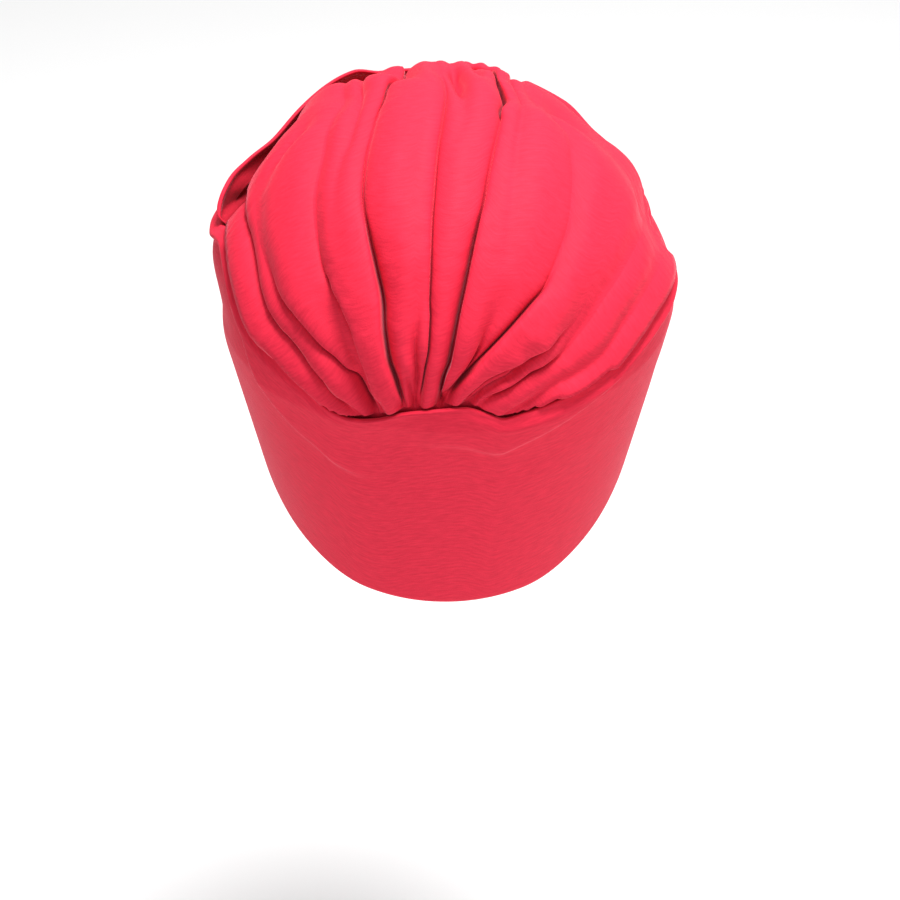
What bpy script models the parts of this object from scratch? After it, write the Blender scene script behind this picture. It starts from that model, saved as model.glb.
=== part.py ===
"""Turban hat in fine jersey: a pleated crown gathered into a wide doubled band,
with two drapes that spread from a wrapped knot at the front.

Sizes and tables are in millimetres and degrees. The hat faces -Y, its back is +Y and
+X is the wearer's left. Every piece of cloth is laid out on one smooth head form.
A place on the form is an azimuth (0 at the back, +90 at the wearer's left) and a tilt
(0 at the top, 90 at the widest level, and past 90 a distance down the band), and a
height is measured outwards from the form.
"""

import bmesh
import bpy
import numpy as np

MM = 0.001

# head form
HALF_WIDTH = 97.5
BACK_DEPTH = 106.0
FRONT_DEPTH = 103.0
CROWN_RISE = 86.0
WIDEST_LEVEL = -78.0
ROUNDNESS = 2.06
NAPE_TAPER = 0.24
NAPE_DROP = 108.0
# dents (or, where negative, bulges) of the form: azimuth, tilt, spread of each, depth
DENTS = (
    (-128, 56, 34, 20, 6.0),
    (-95, 73, 16, 7, 8.0),
    (-110, 56, 20, 12, 3.5),
    (-84, 65, 18, 8, 4.0),
    (-112, 42, 20, 10, 3.0),
    (117, 60, 14, 12, 7.5),
    (88, 71, 12, 7, -3.0),
    (85, 88, 14, 5, 2.5),
)
MM_PER_TILT = 1.8

# cloth walls, and how far a tucked edge runs under the seam, in tilt
CROWN_WALL = 1.5
DRAPE_WALL = 1.5
BAND_WALL = 2.5
TUCK = 3.6
# heights of tucked cloth behind the band, and how far above the seam it starts to dive
TUCK_HEIGHT = -4.6
DRAPE_TUCK_HEIGHT = -4.1
TUCK_START = 1.2
CROWN_TUCK_REACH = 3.5
UNDER_TUCK_REACH = 7.5
DRAPE_TUCK_REACH = 3.0
# heights of the crown under the drapes, and where it goes down to them
UNDER_DRAPE = -3.8
UNDER_DRAPE_TUCK = -7.1
DIVE_START = 8.5
DIVE_REACH = 8.0
FAR_BEHIND = -40.0

# lines on the form, by azimuth and tilt
SEAM_LINE = (
    # azimuth, tilt, depth of the roll under it against its depth at the back
    (-180, 83.0, 0.9),
    (-140, 77.0, 1.2),
    (-100, 74.0, 1.5),
    (-82, 78.0, 1.4),
    (-60, 79.0, 1.2),
    (-50, 80.8, 1.1),
    (-40, 83.7, 1.0),
    (-28, 85.5, 1.0),
    (-18, 87.2, 0.9),
    (-13, 87.9, 0.9),
    (-9, 86.0, 0.9),
    (-4, 84.3, 0.9),
    (3, 84.9, 0.9),
    (9, 86.0, 0.9),
    (15, 88.4, 0.9),
    (21, 89.6, 0.9),
    (26, 88.6, 0.9),
    (32, 84.8, 0.9),
    (40, 82.0, 0.9),
    (50, 78.8, 0.9),
    (62, 74.5, 0.9),
    (75, 71.6, 0.9),
    (98, 70.5, 0.9),
    (140, 77.0, 0.9),
    (180, 83.0, 0.9),
)
HEM_LINE = (
    (-180, 100.0),
    (-130, 108.0),
    (-90, 125.0),
    (-50, 143.0),
    (-25, 149.5),
    (0, 150.5),
    (25, 149.5),
    (50, 143.0),
    (90, 125.0),
    (130, 108.0),
    (180, 100.0),
)
# azimuth runs on past 180 here, round the front from the left temple to the right,
# and the last column is how far the drapes' rolled edge stands off
DRAPE_EDGE = (
    (91, 77.0, 7.5),
    (95, 69.5, 7.5),
    (104, 64.0, 7.0),
    (118, 59.0, 6.5),
    (135, 53.5, 5.5),
    (150, 50.0, 5.0),
    (170, 46.5, 4.0),
    (192, 46.0, 3.5),
    (213, 52.0, 4.0),
    (230, 61.0, 4.0),
    (245, 69.0, 3.5),
    (255, 75.0, 3.0),
    (260, 80.0, 3.0),
)
CROWN_FRONT = (
    (-120, 74.0),
    (-140, 67.0),
    (-158, 60.0),
    (-172, 55.0),
    (-186, 54.0),
    (-200, 55.0),
    (-217, 61.0),
    (-240, 70.0),
)
GATHER_LEFT = 22.0
GATHER_RIGHT = -15.0
TEMPLE_LEFT = 103.0
TEMPLE_RIGHT = -107.0

# folds of the crown: where each crease lies in hundredths across the fan from right to
# left, and how deep it is, at five stations from the back seam to the knot
STATIONS = (0.0, 0.10, 0.25, 0.50, 0.85)
CROWN_FOLDS = (
    # place, depth, reach, lean
    ((2, 4, 3, 5, 7), (0, 2, 4, 3, 0), 5, 0.0),
    ((20, 14.5, 10, 10, 9), (2, 4, 4, 2.5, 0), 6, 0.2),
    ((26, 19, 14, 13, 13), (2, 3, 0.5, 0, 0), 3, 0.0),
    ((29, 23, 12.5, 14, 17), (2, 6, 3, 1, 1), 6, 0.2),
    ((42, 34, 26, 26, 34), (2, 6, 7, 6, 6), 8, -0.3),
    ((42.5, 35, 30, 30, 30), (2, 3, 0.5, 0, 0), 4, 0.2),
    ((40, 38, 34, 35, 36), (0, 0, 1, 4, 7), 6, 0.0),
    ((45, 43, 41.5, 40, 39), (3, 9, 11, 8, 7), 8, 0.35),
    ((46, 46, 46, 46, 45), (0, 0, 0, 0.5, 4), 4, 0.0),
    ((55, 52.5, 51, 51.5, 51.5), (2, 6, 7, 6, 6), 7, 0.2),
    ((58.5, 56, 54, 54, 54), (2, 4, 0.5, 0, 0), 3, 0.0),
    ((65, 66, 65, 66.8, 62), (3, 9, 11, 8, 7), 8, -0.35),
    ((72, 72, 72, 71.5, 69), (0, 0, 0, 3, 6), 6, 0.0),
    ((80, 75.5, 75.5, 77.5, 73), (2, 6, 8, 7, 5), 7, -0.3),
    ((83.5, 82, 87, 91, 92), (2, 6, 6, 2, 0), 6, 0.0),
    ((94, 95.5, 93.5, 92.5, 92), (0, 2, 4, 3, 0), 5, 0.0),
)
# the creases that the mesh's columns follow
MAIN_CREASES = (0, 1, 3, 4, 7, 9, 11, 13, 14, 15)
# fullness between creases, its share at the seam and where it is whole along the fan
PUFF = 5.0
PUFF_AT_SEAM = 0.25
PUFF_RUN = 0.2
# folds are narrower where they are gathered
NARROW_AT_SEAM = 0.3
NARROW_RUN = 0.25
SLOT_SHARE = 0.55
SLOT_WIDTH = 0.3
BANK_WIDTH = 1.5
BANK_SHARPNESS = 1.3
COLUMN_SHARES = (0.0, 0.12, 0.5, 0.88)
FIRST_COLUMN = 0.02
CROWN_ROWS = 24
CROWN_ROW_SPREAD = 1.3

# band, top roll: distance down from the seam and height, outer face then inner face
BAND_TOP_ROLL = (
    (1.0, -2.2, 2.4, -2.8),
    (0.0, -1.0, 2.6, -3.0),
    (0.6, 0.6, 2.9, -2.8),
    (3.4, 2.2, 4.2, -1.9),
    (8.5, 3.0, 8.5, -0.6),
    (14.0, 2.4, 14.0, -0.6),
    (19.0, 0.4, 18.5, -2.2),
    (24.0, -0.6, 24.0, -3.1),
)
BAND_SIDES = 60
BAND_ROWS = 5
HEM_ROUND = 3.0
HEM_THINNING = 0.7

# drapes: folds in hundredths from the rolled rear edge to the front
DRAPE_FOLDS = (
    # place at the knot, place at the seam, depth, reach
    (22, 20, 2.6, 6),
    (40, 38, 3.0, 6),
    (58, 55, 2.6, 6),
    (76, 72, 3.0, 6),
    (90, 88, 2.0, 4),
)
DRAPE_TEMPLE_LEFT = 92.0
DRAPE_TEMPLE_RIGHT = 260.0
DRAPE_SPLIT = 0.35
DRAPE_COLUMNS = 20
DRAPE_COLUMN_SPREAD = 1.2
DRAPE_ROWS = 16
DRAPE_ROW_SPREAD = 1.6
DRAPE_NARROW = 0.35
DRAPE_NARROW_RUN = 0.4
DRAPE_FULLNESS = 1.2
DRAPE_LEVEL = 0.8
DRAPE_LOWEST = -1.4
KNOT_LOW_TILT = 66.0
# rolled rear edge: reach of its lift, its thickening, and where it starts and ends
ROLL_REACH = 10.0
ROLL_BEAD = 2.4
ROLL_WIDTH = 5.0
ROLL_START = 0.12
ROLL_END = 0.08
EDGE_TURN = 0.05

# knot
KNOT_AZIMUTH = 192.0
KNOT_HALF_WIDTH = 15.0
KNOT_TOP_TILT = 47.5
KNOT_FOOT_ABOVE_SEAM = 2.0
KNOT_WAIST = 0.22
KNOT_UNDERSIDE = 1.6
KNOT_EDGE = 0.8
KNOT_THICKNESS = 6.0
KNOT_SIDE_ROUND = 0.6
KNOT_END_ROUND = 0.35
KNOT_END_SHARE = 0.04
KNOT_MARGIN = 1.0
KNOT_CLEARANCE = 9.0
KNOT_FOLDS = 4
KNOT_PLEAT = 0.9
KNOT_COLUMNS = 16
KNOT_ROWS = 12

# jersey colours, linear
CORAL = (0.86, 0.055, 0.09, 1.0)
CORAL_DEEP = (0.72, 0.04, 0.07, 1.0)
JERSEY_ROUGHNESS = 0.75


def smooth(x, table, column=1):
    """Value of a table's column at x, on a smooth curve that never overshoots."""
    xs = np.array([row[0] for row in table], float)
    ys = np.array([row[column] for row in table], float)
    step = np.diff(xs)
    slope = np.diff(ys) / step
    tangent = np.zeros_like(ys)
    tangent[0], tangent[-1] = slope[0], slope[-1]
    before, after = slope[:-1], slope[1:]
    same_way = before * after > 0
    total = np.where(same_way, before + after, 1.0)
    tangent[1:-1] = np.where(same_way, 2 * before * after / total, 0.0)
    x = np.clip(x, xs.min(), xs.max())
    i = np.clip(np.searchsorted(xs, x, side="right") - 1, 0, len(xs) - 2)
    t = (x - xs[i]) / step[i]
    rise = (3 - 2 * t) * t * t
    pull = t * (1 - t)
    ends = ys[i] + rise * (ys[i + 1] - ys[i])
    return ends + pull * step[i] * ((1 - t) * tangent[i] - t * tangent[i + 1])


def ease(x):
    """0 below 0, 1 above 1 and a soft step between."""
    x = np.clip(x, 0.0, 1.0)
    return x * x * (3 - 2 * x)


def wrap(azimuth):
    """Azimuth between -180 and 180."""
    return (azimuth + 180.0) % 360.0 - 180.0


def round_front(azimuth):
    """Azimuth between 0 and 360, which runs on across the front."""
    return azimuth % 360.0


def seam(azimuth):
    return smooth(wrap(azimuth), SEAM_LINE)


def hem(azimuth):
    return smooth(wrap(azimuth), HEM_LINE)


def skin(azimuth, tilt, height):
    """Points on the head form at these heights."""
    around = np.radians(azimuth)
    down = np.radians(np.minimum(tilt, 90.0))
    drop = np.maximum(tilt - 90.0, 0.0) * MM_PER_TILT
    side = np.sin(down) * np.sin(around)
    back = np.sin(down) * np.cos(around)
    rise = np.cos(down)
    depth = np.where(back > 0, BACK_DEPTH, FRONT_DEPTH)
    far = (
        (np.abs(side) / HALF_WIDTH) ** ROUNDNESS
        + (np.abs(back) / depth) ** ROUNDNESS
        + (np.abs(rise) / CROWN_RISE) ** ROUNDNESS
    ) ** (-1 / ROUNDNESS)
    far = far * (1 - NAPE_TAPER * drop / NAPE_DROP) + height
    for turn, lean, turn_spread, lean_spread, dent in DENTS:
        aside = wrap(azimuth - turn) / turn_spread
        above = (tilt - lean) / lean_spread
        far = far - dent * np.exp(-(aside**2) - above**2)
    return np.stack([side * far, back * far, WIDEST_LEVEL + rise * far - drop], -1)


def flat(azimuth, tilt):
    """Place on the flat map of the form, in degrees from its top."""
    around = np.radians(azimuth)
    return np.stack([tilt * np.sin(around), tilt * np.cos(around)], -1)


def unflat(place):
    """Azimuth and tilt of a place on the flat map."""
    tilt = np.hypot(place[..., 0], place[..., 1])
    return np.degrees(np.arctan2(place[..., 0], place[..., 1])), tilt


def blend_patch(start, end, low, high, across, along):
    """Patch between four border curves: start and end run across, low and high along."""
    a = across[..., None]
    b = along[..., None]
    corners = (
        (1 - a) * (1 - b) * start(0 * across)
        + a * (1 - b) * start(0 * across + 1)
        + (1 - a) * b * end(0 * across)
        + a * b * end(0 * across + 1)
    )
    sides = (1 - a) * low(along) + a * high(along)
    return (1 - b) * start(across) + b * end(across) + sides - corners


def shell(name, outer, inner, closed, colour):
    """Closed solid between an outer and an inner grid of points (rows by columns)."""
    rows, columns = outer.shape[:2]
    mesh = bmesh.new()
    skins = []
    for grid in (outer, inner):
        skins.append([[mesh.verts.new(p * MM) for p in row] for row in grid])
    last = columns if closed else columns - 1
    for r in range(rows - 1):
        for c in range(last):
            d = (c + 1) % columns
            top, low = skins
            mesh.faces.new((top[r][c], top[r][d], top[r + 1][d], top[r + 1][c]))
            mesh.faces.new((low[r][c], low[r + 1][c], low[r + 1][d], low[r][d]))
    for c in range(last):
        d = (c + 1) % columns
        for r, turn in ((0, 1), (rows - 1, -1)):
            ring = (skins[0][r][c], skins[1][r][c], skins[1][r][d], skins[0][r][d])
            mesh.faces.new(ring[::turn])
    if not closed:
        for r in range(rows - 1):
            for c, turn in ((0, -1), (columns - 1, 1)):
                ring = (
                    skins[0][r][c],
                    skins[1][r][c],
                    skins[1][r + 1][c],
                    skins[0][r + 1][c],
                )
                mesh.faces.new(ring[::turn])
    bmesh.ops.recalc_face_normals(mesh, faces=mesh.faces)
    return finish(name, mesh, colour)


def finish(name, mesh, colour):
    """Object of this name from a bmesh, shaded smooth, in its own jersey."""
    data = bpy.data.meshes.new(name)
    mesh.to_mesh(data)
    mesh.free()
    data.shade_smooth()
    piece = bpy.data.objects.new(name, data)
    bpy.context.scene.collection.objects.link(piece)
    jersey = bpy.data.materials.new(name + "_jersey")
    jersey.use_nodes = True
    shader = jersey.node_tree.nodes["Principled BSDF"]
    shader.inputs["Base Color"].default_value = colour
    shader.inputs["Roughness"].default_value = JERSEY_ROUGHNESS
    shader.inputs["Metallic"].default_value = 0.0
    data.materials.append(jersey)
    return piece


def valley(distance, reach, lean):
    """Depth of a crease, 1 on its line: a narrow slot between two unequal round banks."""
    apart = np.abs(distance) / (reach * np.where(distance > 0, 1 + lean, 1 - lean))
    slot = np.exp(-apart / SLOT_WIDTH)
    bank = np.exp(-((apart / BANK_WIDTH) ** BANK_SHARPNESS))
    return SLOT_SHARE * slot + (1 - SLOT_SHARE) * bank


def forward_of_drapes(azimuth, tilt):
    """Distance in front of the drapes' rear edge, negative behind it."""
    edge = smooth(round_front(azimuth), DRAPE_EDGE)
    behind = np.abs(wrap(azimuth - 180.0)) > 90.0
    return np.where(behind, FAR_BEHIND, (tilt - edge) * MM_PER_TILT)


def tucked(azimuth, tilt, reach):
    """0 on open cloth and 1 where it is tucked behind the top roll of the band."""
    above = (seam(azimuth) - tilt) * MM_PER_TILT
    return ease(1 - (above - TUCK_START) / reach)


def crown_place(across, along):
    """Azimuth and tilt of a place on the crown's fan."""

    def gather(a):
        azimuth = GATHER_RIGHT + (GATHER_LEFT - GATHER_RIGHT) * a
        return flat(azimuth, seam(azimuth) + TUCK)

    def front(a):
        right_end = (TEMPLE_RIGHT, seam(TEMPLE_RIGHT) + TUCK)
        left_end = (TEMPLE_LEFT - 360.0, seam(TEMPLE_LEFT) + TUCK)
        places = (right_end, *CROWN_FRONT, left_end)
        steps = np.linspace(0, 1, len(places))
        rows = [(s, *place) for s, place in zip(steps, places)]
        return flat(smooth(a, rows, 1), smooth(a, rows, 2))

    def right(b):
        azimuth = GATHER_RIGHT + (TEMPLE_RIGHT - GATHER_RIGHT) * b
        return flat(azimuth, seam(azimuth) + TUCK)

    def left(b):
        azimuth = GATHER_LEFT + (TEMPLE_LEFT - GATHER_LEFT) * b
        return flat(azimuth, seam(azimuth) + TUCK)

    return unflat(blend_patch(gather, front, right, left, across, along))


def crease_place(fold, along):
    rows = [(s, p / 100) for s, p in zip(STATIONS, fold[0])]
    return smooth(along, rows)


def crown_height(across, along, azimuth, tilt, width):
    """Height of the crown's outer face; width is the fan's length across in mm."""
    narrow = NARROW_AT_SEAM + (1 - NARROW_AT_SEAM) * ease(along / NARROW_RUN)
    full = PUFF_AT_SEAM + (1 - PUFF_AT_SEAM) * ease(along / PUFF_RUN)
    height = PUFF * full + 0 * across
    for fold in CROWN_FOLDS:
        place, depth, reach, lean = fold
        deep = smooth(along, [(s, d) for s, d in zip(STATIONS, depth)])
        distance = (across - crease_place(fold, along)) * width
        height = height - deep * valley(distance, reach * narrow, lean)
    forward = forward_of_drapes(azimuth, tilt)
    under = ease((forward + DIVE_START) / DIVE_REACH)
    height = height * (1 - under) + UNDER_DRAPE * under
    reach = CROWN_TUCK_REACH * (1 - under) + UNDER_TUCK_REACH * under
    tuck = tucked(azimuth, tilt, reach)
    low = TUCK_HEIGHT * (1 - under) + UNDER_DRAPE_TUCK * under
    return height * (1 - tuck) + np.minimum(height, low) * tuck


def build_crown():
    creases = [CROWN_FOLDS[i] for i in MAIN_CREASES]
    along = np.linspace(0, 1, CROWN_ROWS + 1) ** CROWN_ROW_SPREAD
    rows = []
    for b in along:
        stops = [0.0] + [float(crease_place(f, b)) for f in creases] + [1.0]
        stops[1] = max(stops[1], FIRST_COLUMN)
        pairs = zip(stops[:-1], stops[1:])
        row = [lo + (hi - lo) * s for lo, hi in pairs for s in COLUMN_SHARES]
        rows.append(row + [1.0])
    across = np.array(rows)
    along = np.repeat(along[:, None], across.shape[1], 1)
    azimuth, tilt = crown_place(across, along)
    base = skin(azimuth, tilt, 0.0)
    steps = np.linalg.norm(np.diff(base, axis=1), axis=2)
    width = steps.sum(1)[:, None]
    height = crown_height(across, along, azimuth, tilt, width)
    outer = skin(azimuth, tilt, height)
    inner = skin(azimuth, tilt, height - CROWN_WALL)
    return shell("crown", outer, inner, False, CORAL)


def build_band():
    azimuth = np.linspace(-180, 180, BAND_SIDES, endpoint=False)
    top = seam(azimuth)
    low = hem(azimuth)
    outer, inner = [], []
    deep = smooth(azimuth, SEAM_LINE, 2) / MM_PER_TILT
    for out_down, out_height, in_down, in_height in BAND_TOP_ROLL:
        outer.append(skin(azimuth, top + out_down * deep, out_height))
        inner.append(skin(azimuth, top + in_down * deep, in_height))
    flat_height = BAND_TOP_ROLL[-1][1]
    roll_end = top + BAND_TOP_ROLL[-1][0] * deep
    fold = low - HEM_ROUND / MM_PER_TILT
    for k in range(1, BAND_ROWS + 1):
        tilt = roll_end + (fold - roll_end) * k / BAND_ROWS
        outer.append(skin(azimuth, tilt, flat_height))
        inner.append(skin(azimuth, tilt, flat_height - BAND_WALL))
    outer.append(skin(azimuth, low, flat_height - HEM_THINNING))
    inner.append(skin(azimuth, low, flat_height - BAND_WALL + HEM_THINNING))
    return shell("band", np.array(outer), np.array(inner), True, CORAL_DEEP)


def drape_rear_azimuth(side, along):
    """Azimuth of a drape's rolled rear edge, from the knot to the temple."""
    knot = KNOT_AZIMUTH - side * DRAPE_SPLIT
    temple = DRAPE_TEMPLE_LEFT if side > 0 else DRAPE_TEMPLE_RIGHT
    return knot + (temple - knot) * along


def drape_place(side, across, along):
    """Azimuth and tilt on a drape; side is 1 at the wearer's left and -1 at the right."""
    knot = drape_rear_azimuth(side, 0.0)
    temple = drape_rear_azimuth(side, 1.0)
    foot = KNOT_AZIMUTH - side * DRAPE_SPLIT

    def at_knot(a):
        top = smooth(knot + 0 * a, DRAPE_EDGE)
        return flat(knot + 0 * a, top + (KNOT_LOW_TILT - top) * a)

    def at_seam(a):
        azimuth = temple + (foot - temple) * a
        return flat(azimuth, seam(azimuth) + TUCK)

    def rear(b):
        azimuth = drape_rear_azimuth(side, b)
        edge = smooth(azimuth, DRAPE_EDGE)
        down = ease(1 + (b - 1) / EDGE_TURN)
        return flat(azimuth, edge + (seam(azimuth) + TUCK - edge) * down)

    def front(b):
        azimuth = knot + (foot - knot) * b
        end = seam(azimuth) + TUCK
        return flat(azimuth, KNOT_LOW_TILT + (end - KNOT_LOW_TILT) * b)

    return unflat(blend_patch(at_knot, at_seam, rear, front, across, along))


def drape_heights(side, across, along, azimuth, tilt, width):
    """Heights of a drape's outer and inner faces."""
    height = DRAPE_LEVEL + DRAPE_FULLNESS * np.sin(np.pi * along) ** 2
    for at_knot, at_seam, depth, reach in DRAPE_FOLDS:
        place = (at_knot + (at_seam - at_knot) * along) / 100
        narrow = DRAPE_NARROW + (1 - DRAPE_NARROW) * ease(along / DRAPE_NARROW_RUN)
        distance = (across - place) * width
        height = height - depth * valley(distance, reach * narrow, 0.0)
    height = np.maximum(height, DRAPE_LOWEST)
    from_edge = across * width
    edge = drape_rear_azimuth(side, along)
    free = ease(along / ROLL_START) * ease((1 - along) / ROLL_END)
    lift = smooth(edge, DRAPE_EDGE, 2) * free
    height = height + lift * np.exp(-((from_edge / ROLL_REACH) ** 2))
    beside = np.abs(wrap(azimuth - KNOT_AZIMUTH)) * MM_PER_TILT * np.sin(np.radians(tilt))
    clear = ease((beside - KNOT_HALF_WIDTH - KNOT_MARGIN) / KNOT_CLEARANCE)
    height = height * clear + np.minimum(height, DRAPE_LEVEL) * (1 - clear)
    bead = ROLL_BEAD * free * clear * np.exp(-((from_edge / ROLL_WIDTH) ** 2))
    tuck = tucked(azimuth, tilt, DRAPE_TUCK_REACH)
    outer = height * (1 - tuck) + DRAPE_TUCK_HEIGHT * tuck
    return outer, outer - DRAPE_WALL - bead * (1 - tuck)


def build_drape(name, side):
    along, across = np.meshgrid(
        1 - np.linspace(1, 0, DRAPE_ROWS + 1) ** DRAPE_ROW_SPREAD,
        np.linspace(0, 1, DRAPE_COLUMNS + 1) ** DRAPE_COLUMN_SPREAD,
        indexing="ij",
    )
    azimuth, tilt = drape_place(side, across, along)
    base = skin(azimuth, tilt, 0.0)
    width = np.linalg.norm(np.diff(base, axis=1), axis=2).sum(1)[:, None]
    high, low = drape_heights(side, across, along, azimuth, tilt, width)
    return shell(name, skin(azimuth, tilt, high), skin(azimuth, tilt, low), False, CORAL)


def build_knot():
    along, across = np.meshgrid(
        np.linspace(0, 1, KNOT_ROWS + 1),
        np.linspace(-1, 1, KNOT_COLUMNS + 1),
        indexing="ij",
    )
    foot = seam(KNOT_AZIMUTH) - KNOT_FOOT_ABOVE_SEAM
    tilt = KNOT_TOP_TILT + (foot - KNOT_TOP_TILT) * along
    waist = 1 - KNOT_WAIST * np.sin(np.pi * along)
    spread = across * KNOT_HALF_WIDTH * waist / (MM_PER_TILT * np.sin(np.radians(tilt)))
    azimuth = KNOT_AZIMUTH + spread
    round_side = np.sqrt(np.clip(1 - across**2, 0, 1))
    inside = KNOT_END_SHARE + (1 - 2 * KNOT_END_SHARE) * along
    round_end = np.sin(np.pi * inside) ** KNOT_END_ROUND
    pleat = KNOT_PLEAT * np.cos(np.pi * KNOT_FOLDS * across) * round_side
    body = (KNOT_THICKNESS + pleat) * round_side**KNOT_SIDE_ROUND * round_end
    outer = skin(azimuth, tilt, KNOT_UNDERSIDE + KNOT_EDGE + body)
    inner = skin(azimuth, tilt, KNOT_UNDERSIDE + 0 * body)
    return shell("knot", outer, inner, False, CORAL)


def build_hat():
    for old in list(bpy.data.objects):
        bpy.data.objects.remove(old, do_unlink=True)
    build_crown()
    build_band()
    build_drape("drape_left", 1)
    build_drape("drape_right", -1)
    build_knot()


build_hat()
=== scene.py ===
"""Looks of a jersey turban hat: pleated crown, doubled band, rolled front drapes, knot.

Sizes and tables are in millimetres and degrees until a mesh is made. The hat faces -Y,
its back is +Y and +X is the wearer's left. All cloth lies on one smooth head form: a
place on it is an azimuth (0 at the back, +90 at the wearer's left) and a tilt (0 at the
top, 90 at the widest level, past 90 a distance down the band), and heights are measured
outwards from the form.
"""

import math

import bpy
import numpy as np
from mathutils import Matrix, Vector


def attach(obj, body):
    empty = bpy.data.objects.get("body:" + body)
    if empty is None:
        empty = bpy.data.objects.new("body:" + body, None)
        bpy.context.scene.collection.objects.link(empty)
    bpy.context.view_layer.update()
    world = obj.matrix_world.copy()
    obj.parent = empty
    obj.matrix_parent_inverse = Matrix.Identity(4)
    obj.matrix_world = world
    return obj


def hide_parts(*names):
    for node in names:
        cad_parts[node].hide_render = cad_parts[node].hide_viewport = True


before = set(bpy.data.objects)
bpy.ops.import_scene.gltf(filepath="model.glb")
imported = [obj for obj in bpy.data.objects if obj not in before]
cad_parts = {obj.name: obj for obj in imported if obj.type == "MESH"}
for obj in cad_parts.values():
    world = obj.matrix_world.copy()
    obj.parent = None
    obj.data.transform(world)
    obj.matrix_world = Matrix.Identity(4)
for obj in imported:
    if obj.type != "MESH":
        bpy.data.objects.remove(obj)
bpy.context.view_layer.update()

MM = 0.001

# head form: that of the solids, with three dents at the left and right temple reset
HALF_WIDTH = 97.5
BACK_DEPTH = 106.0
FRONT_DEPTH = 103.0
CROWN_RISE = 86.0
WIDEST_LEVEL = -78.0
ROUNDNESS = 2.06
NAPE_TAPER = 0.24
NAPE_DROP = 108.0
DENTS = (
    # azimuth, tilt, spread of each, depth of the dent or, where negative, bulge
    (-128, 56, 34, 20, 6.0),
    (-95, 73, 16, 7, 8.0),
    (-110, 56, 20, 12, 3.5),
    (-84, 65, 18, 8, 5.2),
    (-112, 42, 20, 10, 3.0),
    (117, 60, 14, 12, 7.5),
    (86, 75, 12, 7, -3.8),
    (85, 88, 14, 5, 3.6),
)
MM_PER_TILT = 1.8

# cloth walls, and how far a tucked edge runs under the seam, in tilt
CROWN_WALL = 1.2
DRAPE_WALL = 1.3
BAND_WALL = 2.5
TUCK = 3.6
TUCK_HEIGHT = -4.6
DRAPE_TUCK_HEIGHT = -4.1
TUCK_START = 0.1
CROWN_TUCK_REACH = 1.1
UNDER_TUCK_REACH = 7.5
DRAPE_TUCK_REACH = 2.6
UNDER_DRAPE = -5.5
UNDER_DRAPE_TUCK = -8.0
# the crown dives under the drapes: start behind their edge, reach, and how much more of
# both at the front, within this azimuth of the middle
DIVE_START = 8.5
DIVE_REACH = 8.0
FRONT_DIVE = 17.0
FRONT_SPREAD = 30.0
DRAPE_SPAN = 97.0
FAR_BEHIND = -40.0

SEAM_LINE = (
    # azimuth, tilt
    (-220, 77.0),
    (-180, 83.0),
    (-140, 77.0),
    (-100, 74.0),
    (-82, 78.0),
    (-60, 79.0),
    (-50, 80.8),
    (-40, 83.7),
    (-28, 85.5),
    (-18, 87.2),
    (-13, 87.9),
    (-9, 86.0),
    (-4, 84.3),
    (3, 84.9),
    (9, 86.0),
    (15, 88.4),
    (21, 89.6),
    (26, 88.6),
    (32, 84.8),
    (40, 82.0),
    (50, 78.8),
    (62, 73.0),
    (70, 69.3),
    (77, 67.6),
    (81, 68.4),
    (85, 69.8),
    (98, 70.3),
    (112, 71.5),
    (140, 77.0),
    (180, 83.0),
    (220, 77.0),
)
HEM_LINE = (
    # azimuth, tilt
    (-230, 108.0),
    (-180, 100.0),
    (-130, 108.0),
    (-90, 125.0),
    (-50, 143.0),
    (-25, 149.5),
    (0, 150.5),
    (25, 149.5),
    (50, 143.0),
    (90, 125.0),
    (130, 108.0),
    (180, 100.0),
    (230, 108.0),
)
DRAPE_EDGE = (
    # azimuth on past 180, tilt, how far the rolled edge stands off
    (83.5, 70.0, 1.6),
    (86, 68.2, 3.4),
    (89, 66.3, 5.4),
    (92, 64.6, 6.2),
    (96, 63.6, 6.3),
    (104, 62.6, 6.4),
    (111, 60.8, 7.0),
    (118, 58.6, 6.3),
    (133, 54.0, 3.8),
    (150, 50.0, 6.0),
    (158, 48.5, 2.5),
    (170, 46.5, 1.5),
    (181, 46.0, 3.5),
    (192, 46.0, 4.0),
    (206, 49.5, 4.6),
    (220, 56.0, 5.5),
    (232, 62.0, 2.4),
    (245, 69.0, 2.4),
    (255, 75.0, 3.0),
    (260, 80.0, 3.0),
)
# front end of the crown's fan, from right to left, and its back and side ends
CROWN_FRONT = (
    (-120, 74.0),
    (-140, 67.0),
    (-158, 60.0),
    (-172, 55.0),
    (-186, 54.0),
    (-200, 55.0),
    (-217, 61.0),
    (-240, 70.0),
)
GATHER_LEFT = 22.0
GATHER_RIGHT = -15.0
TEMPLE_LEFT = 103.0
TEMPLE_RIGHT = -107.0

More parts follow.
